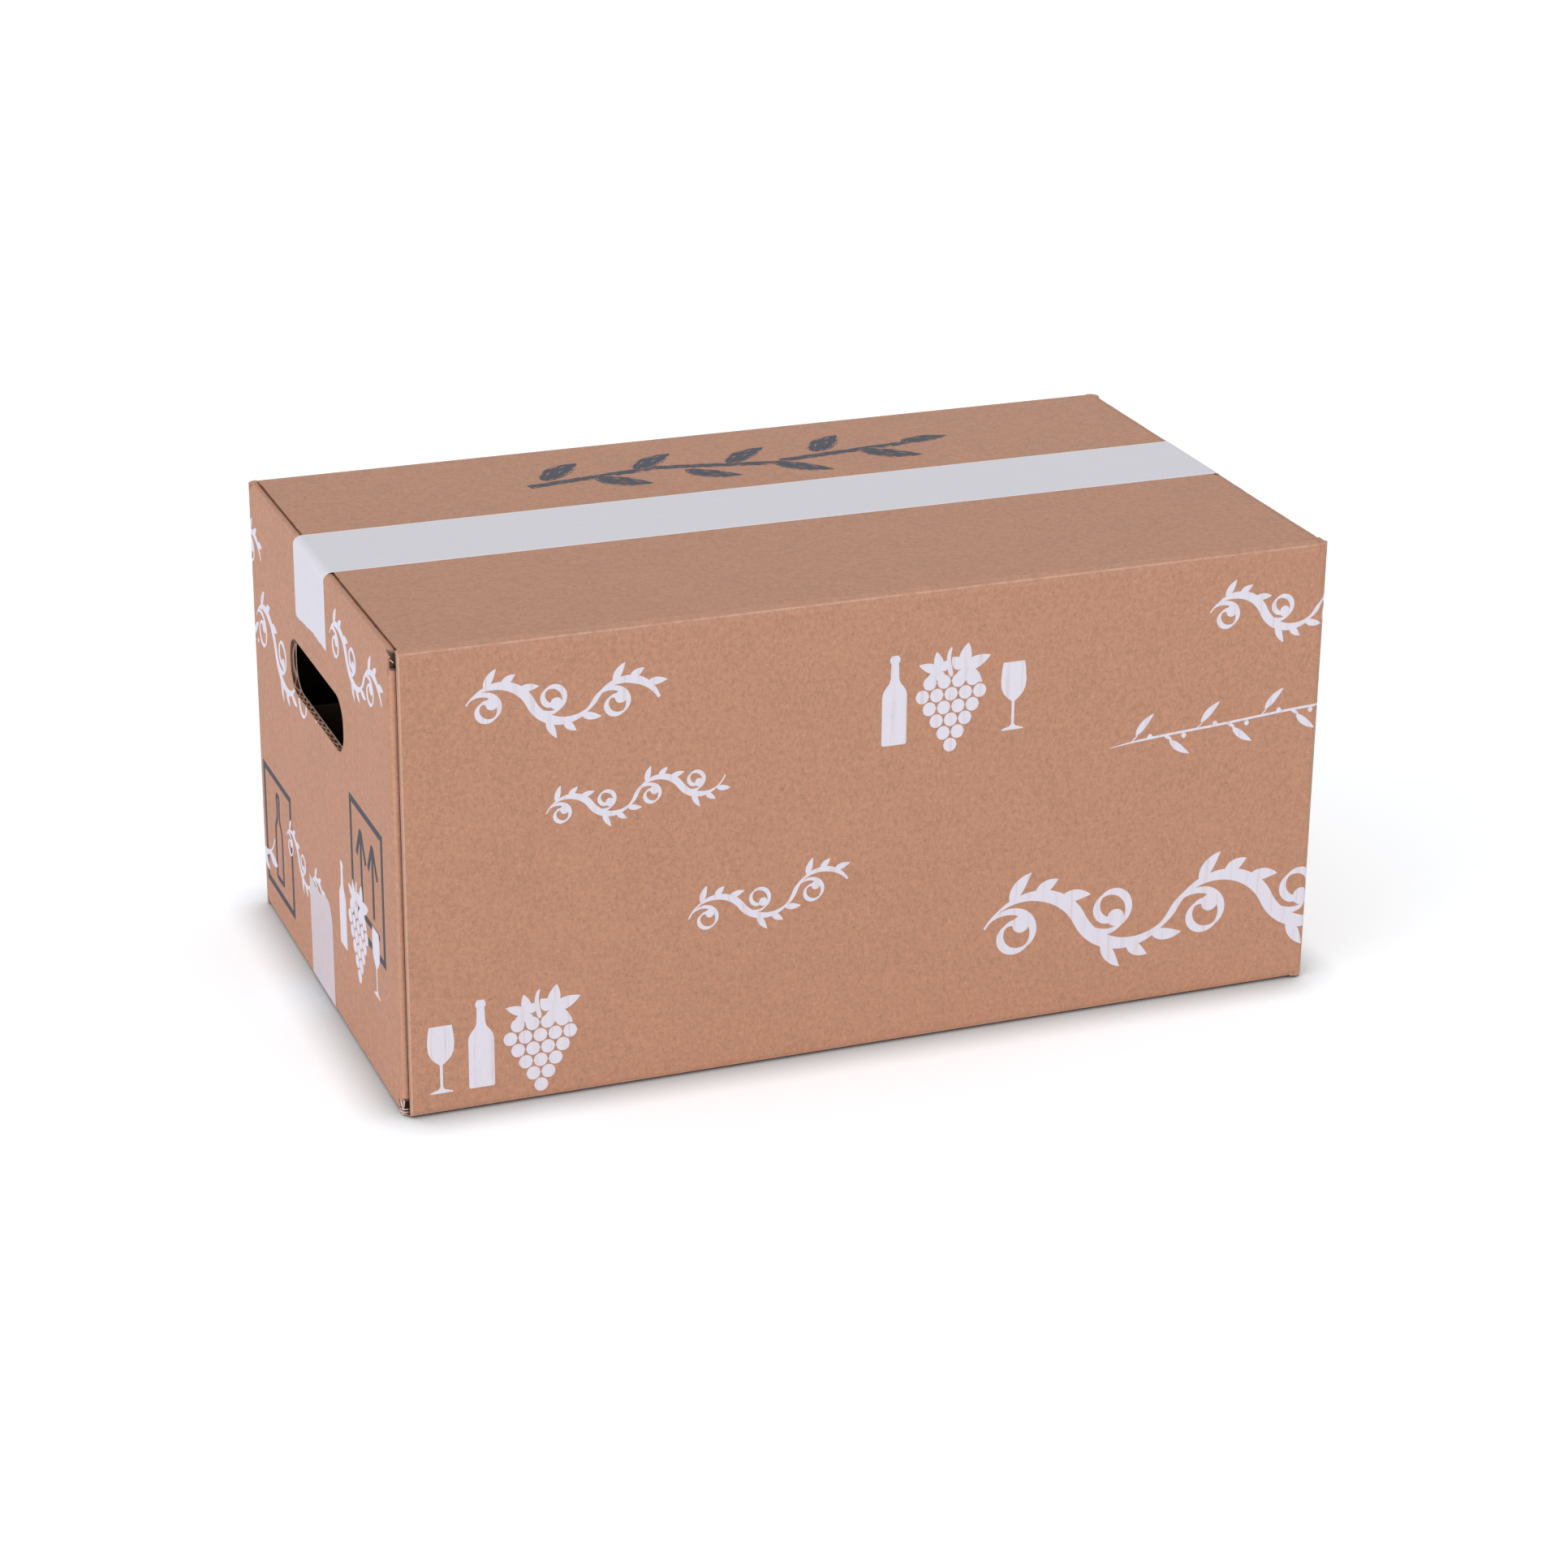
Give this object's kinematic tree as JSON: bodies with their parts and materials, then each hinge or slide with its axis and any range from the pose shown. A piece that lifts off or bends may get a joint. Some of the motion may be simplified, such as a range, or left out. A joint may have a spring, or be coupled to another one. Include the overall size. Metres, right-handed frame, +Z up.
{
  "type": "bottle shipping box",
  "caption": "Closed corrugated shipping box with hand holes in its ends, taped seams, and slotted dividers for bottles that lie in two layers.",
  "frame": {"origin": "on the floor under the middle of the box", "axes": "+X along the box to its right end, +Y to its back, +Z up"},
  "size_m": [0.4084, 0.234, 0.2013],
  "materials": {
    "kraft_board": "uncoated brown kraft liner",
    "tape_film": "pale adhesive film",
    "clear_film": "hazy clear adhesive film",
    "divider_board": "thin uncoated brown board"
  },
  "bodies": {
    "root": {"carton": "kraft_board", "top_tape": "tape_film", "bottom_tape": "clear_film", "layer_pad": "divider_board", "lower_long_divider_front": "divider_board", "lower_long_divider_back": "divider_board", "lower_cross_divider_left": "divider_board", "lower_cross_divider_right": "divider_board", "upper_long_divider_front": "divider_board", "upper_long_divider_back": "divider_board", "upper_cross_divider_left": "divider_board", "upper_cross_divider_right": "divider_board"}
  },
  "joints": []
}
